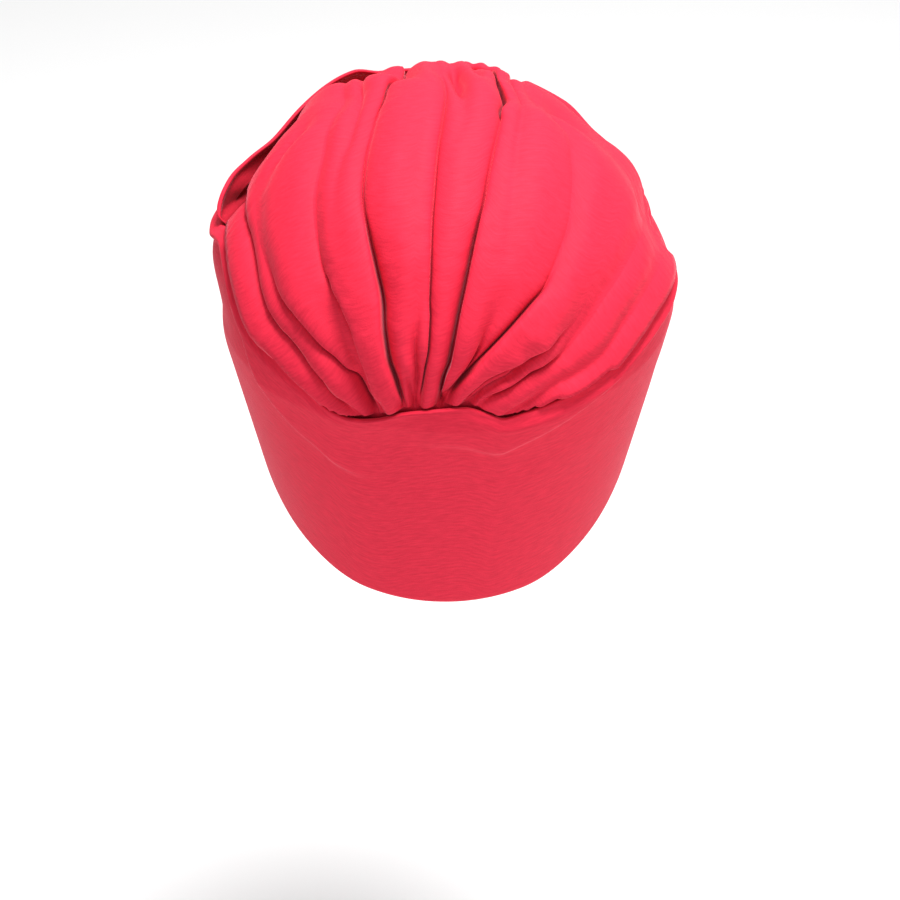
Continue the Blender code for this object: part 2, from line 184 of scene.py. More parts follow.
# Folds of the crown. path gives the crease's place in hundredths across the fan, from
# right to left, at places along it from the back seam (0) to the knot (1). depth is in
# mm along the same fan. bank is the width of its soft side, gap that of its open floor,
# and lip how far the cloth on its left (or, where negative, its right) folds over it.
CROWN_FOLDS = (
    # path, depth, bank, gap, lip
    (
        ((0, 14.5), (0.09, 12.7), (0.12, 12.2), (0.16, 11.3), (0.21, 9.5), (0.3, 8.5), (1, 8)),
        ((0, 2), (0.1, 4), (0.25, 4), (0.45, 3), (0.8, 0)),
        6,
        0.2,
        1.5,
    ),
    (
        (
            (0, 27.5), (0.06, 24.8), (0.09, 21.8), (0.12, 19.5), (0.15, 17.8), (0.18, 16.2),
            (0.22, 15), (0.33, 14.7), (0.45, 14), (1, 13),
        ),
        ((0, 3), (0.06, 5), (0.15, 6), (0.25, 4), (0.45, 3), (0.8, 0)),
        6,
        0.2,
        1.5,
    ),
    (
        ((0, 32), (0.05, 30), (0.07, 28.5), (0.1, 25.5), (0.12, 23), (0.15, 21)),
        ((0, 3), (0.05, 6), (0.12, 6), (0.2, 0)),
        3,
        0,
        1,
    ),
    (
        (
            (0, 34.5), (0.06, 32.4), (0.08, 31.5), (0.1, 29.5), (0.12, 26.2), (0.14, 23.7),
            (0.18, 20.5), (0.23, 18.3), (0.27, 17.2), (0.5, 18), (1, 20),
        ),
        ((0, 3), (0.06, 6), (0.12, 8), (0.18, 7), (0.26, 4), (0.4, 1), (1, 1)),
        7,
        0.4,
        2.5,
    ),
    (
        (
            (0, 44.5), (0.06, 41.6), (0.09, 38.3), (0.11, 36), (0.14, 33.5), (0.17, 31.5),
            (0.21, 29.2), (0.25, 27.5), (0.29, 26.2), (0.38, 25.8), (0.47, 26.8), (0.56, 28.7),
            (0.62, 29.7), (0.71, 34.5), (1, 37),
        ),
        ((0, 3), (0.06, 6), (0.12, 8), (0.22, 7), (0.34, 4.2), (0.45, 3.4), (0.65, 3.6), (0.75, 3), (1, 2)),
        8,
        0.4,
        -2.5,
    ),
    (
        (
            (0, 45.7), (0.06, 42.8), (0.08, 40.3), (0.1, 38.5), (0.12, 36.8),
            (0.15, 35.5), (0.19, 34.8), (0.25, 33.5),
        ),
        ((0, 3), (0.06, 5), (0.12, 6), (0.19, 4), (0.28, 0)),
        4,
        0.2,
        1,
    ),
    (
        ((0.25, 35), (0.31, 35.7), (0.46, 37), (0.54, 37.8), (0.6, 38), (1, 38.3)),
        ((0.25, 0), (0.36, 1.5), (0.5, 2.5), (0.65, 4), (0.8, 6), (1, 7)),
        6,
        0,
        0,
    ),
    (
        (
            (0, 47), (0.05, 45.8), (0.1, 44.7), (0.12, 43.8), (0.2, 43.7), (0.29, 43.2),
            (0.4, 42.3), (0.62, 42.5), (0.69, 41.2), (0.75, 42.2), (1, 42),
        ),
        (
            (0, 4), (0.05, 7), (0.1, 10), (0.2, 12), (0.3, 10), (0.4, 5.5), (0.6, 5),
            (0.66, 9), (0.7, 12), (0.74, 8), (0.8, 6), (1, 7),
        ),
        7,
        1.3,
        -3.5,
    ),
    (
        ((0.7, 46.5), (0.8, 46), (1, 45)),
        ((0.72, 0), (0.79, 4), (0.84, 3), (1, 2)),
        3,
        0.3,
        0,
    ),
    (
        ((0.58, 49.3), (0.65, 50.2), (0.7, 50.8), (0.78, 50.8), (1, 50)),
        ((0.5, 0), (0.64, 3), (0.72, 9), (0.77, 10), (0.81, 3), (1, 1.5)),
        3.5,
        0.6,
        0,
    ),
    (
        (
            (0, 55), (0.05, 54), (0.07, 53.5), (0.11, 52.8), (0.15, 51.8), (0.2, 51.7),
            (0.23, 52.1), (0.4, 52.3), (0.55, 53), (0.68, 53.3), (1, 53.3),
        ),
        ((0, 3), (0.05, 6), (0.12, 6), (0.25, 5.5), (0.5, 5), (0.72, 4.5), (0.8, 3), (1, 2.5)),
        6,
        0.3,
        2.5,
    ),
    (
        ((0, 57.5), (0.05, 57), (0.1, 56), (0.15, 56.3), (0.2, 55.6), (0.28, 55)),
        ((0, 3), (0.05, 6), (0.1, 7), (0.18, 5), (0.3, 0)),
        4,
        0.3,
        0,
    ),
    (
        ((0, 59), (0.05, 58), (0.08, 58.5), (0.12, 60)),
        ((0, 2), (0.04, 4), (0.08, 4), (0.12, 0)),
        3,
        0,
        0,
    ),
    (
        (
            (0, 61), (0.05, 62), (0.09, 64), (0.14, 66), (0.18, 66), (0.24, 65.4), (0.29, 66),
            (0.35, 66.8), (0.44, 68), (0.52, 68), (0.63, 67.5), (0.69, 66.5), (0.74, 65.2),
            (0.79, 62.5), (1, 58),
        ),
        ((0, 4), (0.05, 7), (0.1, 10), (0.2, 12), (0.3, 10), (0.4, 5.5), (0.6, 4.5), (0.8, 6), (1, 6)),
        8,
        1.2,
        3.5,
    ),
    (
        ((0.4, 73.5), (0.51, 73), (0.57, 72.2), (0.67, 71.5), (0.82, 69.5), (1, 68)),
        ((0.35, 0), (0.5, 3), (0.62, 5), (0.85, 7), (1, 6)),
        7,
        0,
        0,
    ),
    (
        (
            (0, 72.8), (0.05, 73.4), (0.2, 73.8), (0.24, 74.7), (0.29, 76.5), (0.33, 77.9), (0.45, 78.4),
            (0.55, 77.5), (0.61, 77.2), (0.68, 76), (0.74, 74.4), (1, 71.5),
        ),
        ((0, 3), (0.06, 6), (0.12, 8), (0.25, 7), (0.33, 4.5), (0.45, 3.8), (0.7, 3.8), (1, 4)),
        8,
        0.3,
        -2.5,
    ),
    (
        ((0, 75.2), (0.05, 75.2), (0.11, 75.8), (0.18, 76.4), (0.25, 77)),
        ((0, 2), (0.06, 4), (0.14, 4), (0.24, 2), (0.3, 0)),
        3,
        0,
        1,
    ),
    (
        (
            (0, 77.3), (0.08, 77.2), (0.1, 77.6), (0.12, 78.4), (0.14, 80), (0.17, 81.2), (0.2, 82.7),
            (0.23, 83.7), (0.27, 84.7), (0.35, 87), (0.5, 88), (1, 86),
        ),
        ((0, 3), (0.06, 6), (0.12, 7), (0.25, 7), (0.35, 5), (0.5, 3), (0.7, 1), (1, 1)),
        7,
        0.3,
        -2,
    ),
    (
        ((0.57, 85.5), (0.62, 84.2), (0.65, 81.8), (0.68, 80.2), (0.74, 79)),
        ((0.56, 0), (0.62, 2.5), (0.66, 4), (0.7, 3), (0.76, 0)),
        4,
        0.2,
        0,
    ),
    (
        (
            (0, 82.5), (0.06, 84.7), (0.08, 86.2), (0.11, 87.3), (0.2, 88), (0.25, 88.8),
            (0.29, 89.7), (0.34, 90.5), (0.45, 90.5), (1, 92.5),
        ),
        ((0, 2), (0.06, 4), (0.12, 6), (0.3, 6), (0.5, 5), (0.6, 6), (0.68, 6), (0.8, 1)),
        6,
        0.3,
        -2,
    ),
)
# the creases that the mesh's columns follow, and the columns between them
MAIN_CREASES = (0, 1, 3, 4, 7, 10, 13, 15, 17, 19)
COLUMN_COUNTS = (14, 18, 14, 28, 38, 28, 32, 28, 22, 12, 16)
COLUMN_FINENESS = 0.78
CROWN_ROWS = 190
# how much closer the rows lie at the seam and at the knot, and over what share of the fan
ROWS_AT_SEAM = (1.6, 0.07)
ROWS_AT_KNOT = (1.2, 0.06)
ROW_SAMPLES = 4001
FIRST_CREASE_LEAST = 0.02

# height of the crown's puffed cloth over the form, and how it starts at the seam
PUFF = 5.0
PUFF_AT_SEAM = 0.08
PUFF_RUN = 0.2
SEAM_DEPTH = 0.32
SEAM_RUN = 0.11
NARROW_AT_SEAM = 0.3
NARROW_RUN = 0.25
CROWN_PRESS = (
    # where the crown alone is pressed in: azimuth, tilt, spread of each, depth
    (92, 67, 12, 11, 6.0),
    (107, 53, 15, 12, 5.0),
    (-93, 60, 14, 14, 3.0),
    (-118, 40, 18, 10, 8.0),
    (153, 28, 9, 10, 5.5),
    (179, 34, 8, 10, -1.5),
    (-150, 33, 7, 9, -2.6),
    (134, 36, 10, 10, -3.0),
)

# A fold's folded-over lip: where its middle lies past the crease, its width, and the
# depths of crease at which it starts and is whole. Its soft side falls over a few banks,
# and from a certain depth a narrow slot opens at its foot.
LIP_CENTRE = 2.2
LIP_LEAD = 0.0023
LIP_WIDTH = 1.5
LIP_FROM = 2.5
LIP_DEPTH = 4.0
LIP_STEEPNESS = 1.3
LIP_CURVE = 3
SHARP_DEPTH = 7.0
SHALLOW_SOFTNESS = 5.0
BANK_SCALE = 2.6
BANK_CURVE = 2.2
FLOOR_SHARE = 0.38
FLOOR_SLOT = 1.4
SLOT_FROM = 2.0
SLOT_DEPTH = 5.0

# loose cloth: size of the fan in mm, cells of each unevenness in mm, and heights
FAN_WIDTH = 260.0
FAN_LENGTH = 320.0
WAVE_CELL = (18.0, 70.0)
RIPPLE_CELL = (9.0, 30.0)
RIPPLE_SHARE = 0.5
PATCH_CELL = (30.0, 30.0)
PATCH_SHIFT = 0.3
CRUMPLE_CELL = (7.0, 4.0)
WAVE = 0.8
WAVE_RUN = 0.1
CRUMPLE = 0.22
FINE_GATHER = 0.7
GATHER_CELLS = (40.0, 5.0)
GATHER_RUN = 0.07

BAND_TOP_ROLL = (
    # distance down and height of the outer face, then of the inner face
    (1.6, -2.4, 2.4, -2.9),
    (0.7, -2.0, 2.5, -3.0),
    (0.1, -1.3, 2.6, -3.1),
    (0.0, -0.6, 2.7, -3.0),
    (0.15, 0.2, 2.9, -2.8),
    (0.5, 0.8, 3.3, -2.5),
)
# puffed folds below the seam: azimuth, how far down their lower edge lies, how proud
RIGHT_PUFF = (
    (-180, 12, 3.5),
    (-120, 9, 1.6),
    (-95, 8, 1.8),
    (-75, 8, 3.5),
    (-56, 8, 3.8),
    (-44, 7.5, 3.8),
    (-35, 10, 3.5),
    (-26, 15, 3.2),
    (-17, 18.5, 3.0),
    (-8, 23.3, 2.2),
    (1, 21, 1.2),
    (8, 19, 0.0),
)
LEFT_PUFF = (
    (10, 36, 0.0),
    (20, 36, 0.7),
    (25, 35.4, 1.4),
    (29, 35, 1.9),
    (36, 33, 2.4),
    (42, 28, 3.0),
    (48, 20, 3.2),
    (54, 11, 3.5),
    (64, 9, 3.8),
    (90, 8, 3.5),
    (140, 10, 3.5),
    (180, 12, 3.5),
)
PUFF_RISE = 5.0
PUFF_FALL = 5.0
PUFF_FALL_SHARE = 0.4
BAND_HEIGHT = -0.6
ROLL_FADE = 3.0
# slight unevenness of the band: mm to a degree round it, cells in mm, and height
BAND_MM_PER_DEGREE = 1.8
BAND_WAVE_CELL = (30.0, 14.0)
BAND_RIPPLE_CELL = (12.0, 9.0)
BAND_RIPPLE_SHARE = 0.4
BAND_WAVE = 0.35
BAND_WAVE_START = 6.0
BAND_WAVE_END = 60.0
BAND_WAVE_FADE = 30.0
# the band's wall is thinner at its top roll, and its inner face starts a little lower
THIN_AT_ROLL = 0.6
THIN_RUN = 6.0
INNER_LAG = 1.4
INNER_LAG_FADE = 4.0
BAND_SIDES = 300
BAND_TOP_ROWS = 44
BAND_TOP_REACH = 44.0
BAND_TOP_SHARE = 0.75
BAND_ROWS = 34
HEM_ROUND = 3.0
HEM_STEPS = 8

DRAPE_FOLDS = (
    # place at the knot, place at the seam, depth, reach
    (12, 9, 1.2, 4),
    (22, 20, 2.6, 6),
    (31, 29, 1.4, 4),
    (40, 38, 3.0, 6),
    (49, 46, 1.2, 4),
    (58, 55, 2.6, 6),
    (67, 64, 1.4, 4),
    (76, 72, 3.0, 6),
    (90, 88, 2.0, 4),
)
DRAPE_TEMPLE_LEFT = 83.5
DRAPE_TEMPLE_RIGHT = 260.0
DRAPE_SPLIT = 0.35
DRAPE_COLUMNS = 120
DRAPE_ROWS = 110
# rows gather towards the temple and columns towards the rolled edge
ROW_GATHER = 1.3
COLUMN_GATHER = 1.8
DRAPE_NARROW = 0.35
DRAPE_NARROW_RUN = 0.4
DRAPE_FULLNESS = 1.2
DRAPE_LEVEL = 0.8
DRAPE_LOWEST = -1.4
# a drape's crease: share of its depth in a narrow slot, and the rest in a soft hollow
VALLEY_SHARE = 0.5
VALLEY_SLOT = 0.3
VALLEY_SPREAD = 1.4
VALLEY_CURVE = 1.5
# slight unevenness: size of a drape, cells in mm, and height
DRAPE_WIDTH = 60.0
DRAPE_LENGTH = 130.0
DRAPE_WAVE_CELL = (9.0, 40.0)
DRAPE_WAVE = 0.4
KNOT_LOW_TILT = 66.0
ROLL_REACH = 10.0
ROLL_BEAD_LEFT = 0.9
ROLL_BEAD_RIGHT = 2.6
ROLL_WIDTH = 5.0
ROLL_START = 0.12
ROLL_END = 0.015
EDGE_TURN = 0.02
EDGE_ROUND = 1.8
EDGE_LEAST = 0.08

KNOT_AZIMUTH = 192.0
KNOT_HALF_WIDTH = 15.0
KNOT_TOP_TILT = 47.5
KNOT_FOOT_BELOW_SEAM = 2.4
KNOT_TUCK_REACH = 7.0
KNOT_TUCK_HEIGHT = -3.2
KNOT_WAIST = 0.22
KNOT_UNDERSIDE = 1.6
KNOT_EDGE = 0.8
KNOT_THICKNESS = 6.0
KNOT_SIDE_ROUND = 0.6
KNOT_END_ROUND = 0.35
KNOT_END_SHARE = 0.04
KNOT_MARGIN = 1.0
KNOT_CLEARANCE = 7.0
KNOT_FOLDS = 4
KNOT_PLEAT = 0.9
KNOT_COLUMNS = 90
KNOT_ROWS = 80

NOISE_CELLS = 64

# Viscose jersey, in mm along and across its courses. They are 0.6 mm apart on the real
# cloth and are drawn 1.1 mm apart, so that they show.
STREAK_LENGTH = 6.0
COURSE_SPACING = 1.1
LOOP_CELL = 0.625
STREAK_RANGE = (0.3, 0.7)
COLOUR_LIT = "E22843"
COLOUR_DEEP = "CE203A"
SHEEN_COLOUR = "FF8C9C"
SHEEN_WEIGHT = 0.4
SHEEN_ROUGHNESS = 0.3
JERSEY_ROUGHNESS = 0.72
JERSEY_IOR = 1.46
JERSEY_SPECULAR = 0.2
KNIT_STRENGTH = 0.35
KNIT_HEIGHT = 0.0003
# painted shade: darker red painted between layers that face each other, where shade
# falls in creases: colour, and reach in m. The drapes' rolled edges stand far off the
# crown, so their painted shade has a longer reach.
CREASE_SHADE_COLOUR = "900C20"
CREASE_SHADE_REACH = 0.0035
ROLLED_EDGE_SHADE_COLOUR = "6E0712"
ROLLED_EDGE_SHADE_REACH = 0.03
CREASE_SHADE_RANGE = (0.1, 0.55)
CREASE_SHADE_SAMPLES = 8

# studio, in m: the camera looks down from behind at the target
TARGET = Vector((0.0, 0.0, -0.102))
CAMERA_ELEVATION = math.radians(34.0)
CAMERA_DISTANCE = 1.15
CAMERA_SENSOR = 36.0
CAMERA_LENS = 107.2
CAMERA_SHIFT = (5 / 900, -119 / 900)
FLOOR_SIZE = 6.0
FLOOR_LEVEL = -0.5
FLOOR_COLOUR = "F6F6F6"
FLOOR_ROUGHNESS = 0.9
WORLD_STRENGTH = 0.5
LIGHTS = (
    # name, place, size, power
    ("top_light", (-0.2, -0.1, 1.2), 0.6, 29.0),
    ("side_light", (-1.2, 0.2, 0.3), 0.8, 3.0),
    ("rear_light", (0.0, 1.6, 0.25), 1.0, 5.6),
)


def smooth(x, table, column=1):
    """Value of a table's column at x, on a smooth curve that never overshoots."""
    xs = np.array([row[0] for row in table], float)
    ys = np.array([row[column] for row in table], float)
    step = np.diff(xs)
    slope = np.diff(ys) / step
    tangent = np.zeros_like(ys)
    tangent[0], tangent[-1] = slope[0], slope[-1]
    before, after = slope[:-1], slope[1:]
    same_way = before * after > 0
    total = np.where(same_way, before + after, 1.0)
    tangent[1:-1] = np.where(same_way, 2 * before * after / total, 0.0)
    x = np.clip(x, xs.min(), xs.max())
    i = np.clip(np.searchsorted(xs, x, side="right") - 1, 0, len(xs) - 2)
    t = (x - xs[i]) / step[i]
    rise = (3 - 2 * t) * t * t
    pull = t * (1 - t)
    ends = ys[i] + rise * (ys[i + 1] - ys[i])
    return ends + pull * step[i] * ((1 - t) * tangent[i] - t * tangent[i + 1])


def ease(x):
    """0 below 0, 1 above 1 and a soft step between."""
    x = np.clip(x, 0.0, 1.0)
    return x * x * (3 - 2 * x)


def wrap(azimuth):
    """Azimuth between -180 and 180."""
    return (azimuth + 180.0) % 360.0 - 180.0


def round_front(azimuth):
    """Azimuth between 0 and 360, which runs on across the front."""
    return azimuth % 360.0


def seam(azimuth):
    return smooth(wrap(azimuth), SEAM_LINE)


def hem(azimuth):
    return smooth(wrap(azimuth), HEM_LINE)


def dent(azimuth, tilt, table):
    """Depth of a table's soft dents at a place."""
    total = 0 * azimuth
    for turn, lean, turn_spread, lean_spread, depth in table:
        aside = wrap(azimuth - turn) / turn_spread
        above = (tilt - lean) / lean_spread
        total = total + depth * np.exp(-(aside**2) - above**2)
    return total


def skin(azimuth, tilt, height):
    """Points on the head form at these heights."""
    around = np.radians(azimuth)
    down = np.radians(np.minimum(tilt, 90.0))
    drop = np.maximum(tilt - 90.0, 0.0) * MM_PER_TILT
    side = np.sin(down) * np.sin(around)
    back = np.sin(down) * np.cos(around)
    rise = np.cos(down)
    depth = np.where(back > 0, BACK_DEPTH, FRONT_DEPTH)
    far = (
        (np.abs(side) / HALF_WIDTH) ** ROUNDNESS
        + (np.abs(back) / depth) ** ROUNDNESS
        + (np.abs(rise) / CROWN_RISE) ** ROUNDNESS
    ) ** (-1 / ROUNDNESS)
    far = far * (1 - NAPE_TAPER * drop / NAPE_DROP) - dent(azimuth, tilt, DENTS) + height
    return np.stack([side * far, back * far, WIDEST_LEVEL + rise * far - drop], -1)


def flat(azimuth, tilt):
    """Place on the flat map of the form, in degrees from its top."""
    around = np.radians(azimuth)
    return np.stack([tilt * np.sin(around), tilt * np.cos(around)], -1)


def unflat(place):
    """Azimuth and tilt of a place on the flat map."""
    tilt = np.hypot(place[..., 0], place[..., 1])
    return np.degrees(np.arctan2(place[..., 0], place[..., 1])), tilt


def blend_patch(start, end, low, high, across, along):
    """Patch between four border curves: start and end run across, low and high along."""
    a = across[..., None]
    b = along[..., None]
    corners = (
        (1 - a) * (1 - b) * start(0 * across)
        + a * (1 - b) * start(0 * across + 1)
        + (1 - a) * b * end(0 * across)
        + a * b * end(0 * across + 1)
    )
    sides = (1 - a) * low(along) + a * high(along)
    return (1 - b) * start(across) + b * end(across) + sides - corners


def soft_noise(x, y, seed):
    """Smooth noise between -1 and 1 with cells one unit wide."""
    grid = np.random.default_rng(seed).uniform(-1, 1, (NOISE_CELLS, NOISE_CELLS))
    i, j = np.floor(x).astype(int), np.floor(y).astype(int)
    u, v = ease(x - i), ease(y - j)
    i0, j0 = i % NOISE_CELLS, j % NOISE_CELLS
    i1, j1 = (i + 1) % NOISE_CELLS, (j + 1) % NOISE_CELLS
    low = grid[i0, j0] * (1 - u) + grid[i1, j0] * u
    high = grid[i0, j1] * (1 - u) + grid[i1, j1] * u
    return low * (1 - v) + high * v


def cloth_noise(x, y, cell, seed):
    """The same noise at places in mm, with cells of this width and length."""
    return soft_noise(x / cell[0], y / cell[1], seed)


def cloth_piece(name, outer, inner, closed, places):
    """Closed piece of cloth between two grids of points, with places (mm) as its UV map."""
    rows, columns = outer.shape[:2]
    count = rows * columns
    points = np.concatenate([outer.reshape(-1, 3), inner.reshape(-1, 3)]) * MM
    last = columns if closed else columns - 1
    r, c = np.meshgrid(np.arange(rows - 1), np.arange(last), indexing="ij")
    r, c = r.ravel(), c.ravel()
    d = (c + 1) % columns
    a, b, e, f = r * columns + c, r * columns + d, (r + 1) * columns + d, (r + 1) * columns + c
    faces = [np.stack([a, b, e, f], 1), np.stack([a, f, e, b], 1) + count]
    c = np.arange(last)
    d = (c + 1) % columns
    foot = (rows - 1) * columns
    faces.append(np.stack([c, c + count, d + count, d], 1))
    faces.append(np.stack([foot + d, foot + d + count, foot + c + count, foot + c], 1))
    if not closed:
        r = np.arange(rows - 1) * columns
        s = r + columns
        faces.append(np.stack([s, s + count, r + count, r], 1))
        r, s = r + columns - 1, s + columns - 1
        faces.append(np.stack([r, r + count, s + count, s], 1))
    faces = np.concatenate(faces)
    data = bpy.data.meshes.new(name)
    data.from_pydata(points.tolist(), [], faces.tolist())
    data.update()
    corners = np.zeros(len(data.loops), int)
    data.loops.foreach_get("vertex_index", corners)
    both = np.concatenate([places.reshape(-1, 2), places.reshape(-1, 2)])
    layer = data.uv_layers.new(name="cloth")
    layer.data.foreach_set("uv", both[corners].ravel())
    data.shade_smooth()
    piece = bpy.data.objects.new(name, data)
    bpy.context.scene.collection.objects.link(piece)
    bpy.ops.object.select_all(action="DESELECT")
    piece.select_set(True)
    bpy.context.view_layer.objects.active = piece
    bpy.ops.object.mode_set(mode="EDIT")
    bpy.ops.mesh.select_all(action="SELECT")
    bpy.ops.mesh.normals_make_consistent(inside=False)
    bpy.ops.object.mode_set(mode="OBJECT")
    return piece


def run_lengths(points, axis):
    """Distance run along an axis of a grid of points, starting at 0."""
    steps = np.linalg.norm(np.diff(points, axis=axis), axis=2)
    total = np.cumsum(steps, axis=axis)
    pad = [(0, 0), (0, 0)]
    pad[axis] = (1, 0)
    return np.pad(total, pad)


def forward_of_drapes(azimuth, tilt):
    """Distance in front of the drapes' rear edge, negative behind it."""
    edge = smooth(round_front(azimuth), DRAPE_EDGE)
    behind = np.abs(wrap(azimuth - 180.0)) > DRAPE_SPAN
    return np.where(behind, FAR_BEHIND, (tilt - edge) * MM_PER_TILT)


def tucked(azimuth, tilt, reach):
    """0 on open cloth and 1 where it is tucked behind the top roll of the band."""
    above = (seam(azimuth) - tilt) * MM_PER_TILT
    return ease(1 - (above - TUCK_START) / reach)


def crown_place(across, along):
    """Azimuth and tilt of a place on the crown's fan."""

    def gather(a):
        azimuth = GATHER_RIGHT + (GATHER_LEFT - GATHER_RIGHT) * a
        return flat(azimuth, seam(azimuth) + TUCK)

    def front(a):
        right_end = (TEMPLE_RIGHT, seam(TEMPLE_RIGHT) + TUCK)
        left_end = (TEMPLE_LEFT - 360.0, seam(TEMPLE_LEFT) + TUCK)
        places = (right_end, *CROWN_FRONT, left_end)
        steps = np.linspace(0, 1, len(places))
        rows = [(s, *place) for s, place in zip(steps, places)]
        return flat(smooth(a, rows, 1), smooth(a, rows, 2))

    def right(b):
        azimuth = GATHER_RIGHT + (TEMPLE_RIGHT - GATHER_RIGHT) * b
        return flat(azimuth, seam(azimuth) + TUCK)

    def left(b):
        azimuth = GATHER_LEFT + (TEMPLE_LEFT - GATHER_LEFT) * b
        return flat(azimuth, seam(azimuth) + TUCK)

    return unflat(blend_patch(gather, front, right, left, across, along))


def crease_place(fold, along):
    """Place of a crease across the fan; its lip covers it and shows beside it."""
    return smooth(along, fold[0]) / 100 + LIP_LEAD * fold[-1]


def fold_drop(distance, bank, gap, side, steepness, floor):
    """Depth of a fold, 1 on its line; side is which side folds over, or 0 for neither."""
    near = np.maximum(np.abs(distance) - np.where(distance * side > 0, 0, gap), 0)
    rise = np.clip(1 - near / (BANK_SCALE * bank), 0, 1)
    soft = floor * np.exp(-near / FLOOR_SLOT) + (1 - floor) * rise**BANK_CURVE
    steep = 1 / (1 + (near / steepness) ** LIP_CURVE)
    return np.where(distance * side > 0, steep, soft)


def crown_relief(across, along, azimuth, tilt, width):
    """Height of the crown's outer face, and its shift across the fan in mm."""
    narrow = NARROW_AT_SEAM + (1 - NARROW_AT_SEAM) * ease(along / NARROW_RUN)
    full = PUFF_AT_SEAM + (1 - PUFF_AT_SEAM) * ease(along / PUFF_RUN)
    height = PUFF * full - dent(azimuth, tilt, CROWN_PRESS)
    open_up = SEAM_DEPTH + (1 - SEAM_DEPTH) * ease(along / SEAM_RUN)
    shift = 0 * across
    for fold in CROWN_FOLDS:
        depth, bank, gap, lip = fold[1:]
        deep = smooth(along, depth) * open_up
        distance = (across - crease_place(fold, along)) * width / narrow
        side = np.sign(lip)
        steepness = LIP_STEEPNESS * (1 + SHALLOW_SOFTNESS * (1 - ease(deep / SHARP_DEPTH)))
        floor = FLOOR_SHARE * ease((deep - SLOT_FROM) / SLOT_DEPTH)
        height = height - deep * fold_drop(distance, bank, gap / narrow, side, steepness, floor)
        over = np.exp(-(((distance * side - LIP_CENTRE) / LIP_WIDTH) ** 2))
        shift = shift - lip * over * ease((deep - LIP_FROM) / LIP_DEPTH) * narrow
    forward = forward_of_drapes(azimuth, tilt)
    wide = FRONT_DIVE * np.exp(-((wrap(azimuth - 180) / FRONT_SPREAD) ** 4))
    under = ease((forward + DIVE_START + wide) / (DIVE_REACH + wide))
    height = height * (1 - under) + UNDER_DRAPE * under
    reach = CROWN_TUCK_REACH * (1 - under) + UNDER_TUCK_REACH * under
    tuck = tucked(azimuth, tilt, reach)
    low = TUCK_HEIGHT * (1 - under) + UNDER_DRAPE_TUCK * under
    x, y = across * FAN_WIDTH, along * FAN_LENGTH
    broad = cloth_noise(x, y, WAVE_CELL, 1) + RIPPLE_SHARE * cloth_noise(x, y, RIPPLE_CELL, 2)
    patch = ease(cloth_noise(x, y, PATCH_CELL, 3) + PATCH_SHIFT)
    crumple = patch * cloth_noise(x, y, CRUMPLE_CELL, 4)
    gathers = soft_noise(across * GATHER_CELLS[0], along * GATHER_CELLS[1], 5)
    gathers = FINE_GATHER * gathers * np.exp(-along / GATHER_RUN)
    loose = WAVE * broad * ease(along / WAVE_RUN) + CRUMPLE * crumple + gathers
    height = height + loose * (1 - tuck) * (1 - under)
    height = height * (1 - tuck) + np.minimum(height, low) * tuck
    return height, shift * (1 - tuck) * (1 - under)


def build_crown():
    creases = [CROWN_FOLDS[i] for i in MAIN_CREASES]
    t = np.linspace(0, 1, ROW_SAMPLES)
    at_seam = ROWS_AT_SEAM[0] * np.exp(-t / ROWS_AT_SEAM[1])
    at_knot = ROWS_AT_KNOT[0] * np.exp(-(1 - t) / ROWS_AT_KNOT[1])
    dense = np.cumsum(1 + at_seam + at_knot)
    dense = (dense - dense[0]) / (dense[-1] - dense[0])
    along = np.interp(np.linspace(0, 1, CROWN_ROWS + 1), dense, t)
    stops = [0 * along] + [crease_place(f, along) for f in creases] + [0 * along + 1]
    stops[1] = np.maximum(stops[1], FIRST_CREASE_LEAST)
    columns = []
    for low, high, count in zip(stops[:-1], stops[1:], COLUMN_COUNTS):
        s = np.linspace(0, 1, count, endpoint=False)
        s = s - COLUMN_FINENESS * np.sin(2 * np.pi * s) / (2 * np.pi)
        columns.append(low[:, None] + (high - low)[:, None] * s)
    columns.append(stops[-1][:, None])
    across = np.concatenate(columns, 1)
    along = np.repeat(along[:, None], across.shape[1], 1)
    azimuth, tilt = crown_place(across, along)
    base = skin(azimuth, tilt, 0.0)
    run = run_lengths(base, 1)
    width = run[:, -1:]
    height, shift = crown_relief(across, along, azimuth, tilt, width)
    moved = crown_place(np.clip(across + shift / width, 0, 1), along)
    outer = skin(*moved, height)
    inner = skin(azimuth, tilt, height - CROWN_WALL)
    places = np.stack([run_lengths(outer, 1), run_lengths(outer, 0)], -1)
    return cloth_piece("crown_cloth", outer, inner, False, places)


def band_height(azimuth, down):
    """Height of the band's outer face at a distance down from the seam."""
    start = BAND_TOP_ROLL[-1][1]
    height = BAND_HEIGHT + (start - BAND_HEIGHT) * np.exp(-down / ROLL_FADE)
    for puff in (RIGHT_PUFF, LEFT_PUFF):
        low = smooth(azimuth, puff, 1)
        proud = smooth(azimuth, puff, 2)
        rise = ease(down / PUFF_RISE)
        fall = ease((low - down) / np.minimum(low * PUFF_FALL_SHARE, PUFF_FALL))
        height = height + proud * rise * fall
    x, y = azimuth * BAND_MM_PER_DEGREE, down
    broad = cloth_noise(x, y, BAND_WAVE_CELL, 11)
    broad = broad + BAND_RIPPLE_SHARE * cloth_noise(x, y, BAND_RIPPLE_CELL, 12)
    fade = ease(down / BAND_WAVE_START) * ease((BAND_WAVE_END - down) / BAND_WAVE_FADE)
    return height + BAND_WAVE * broad * fade


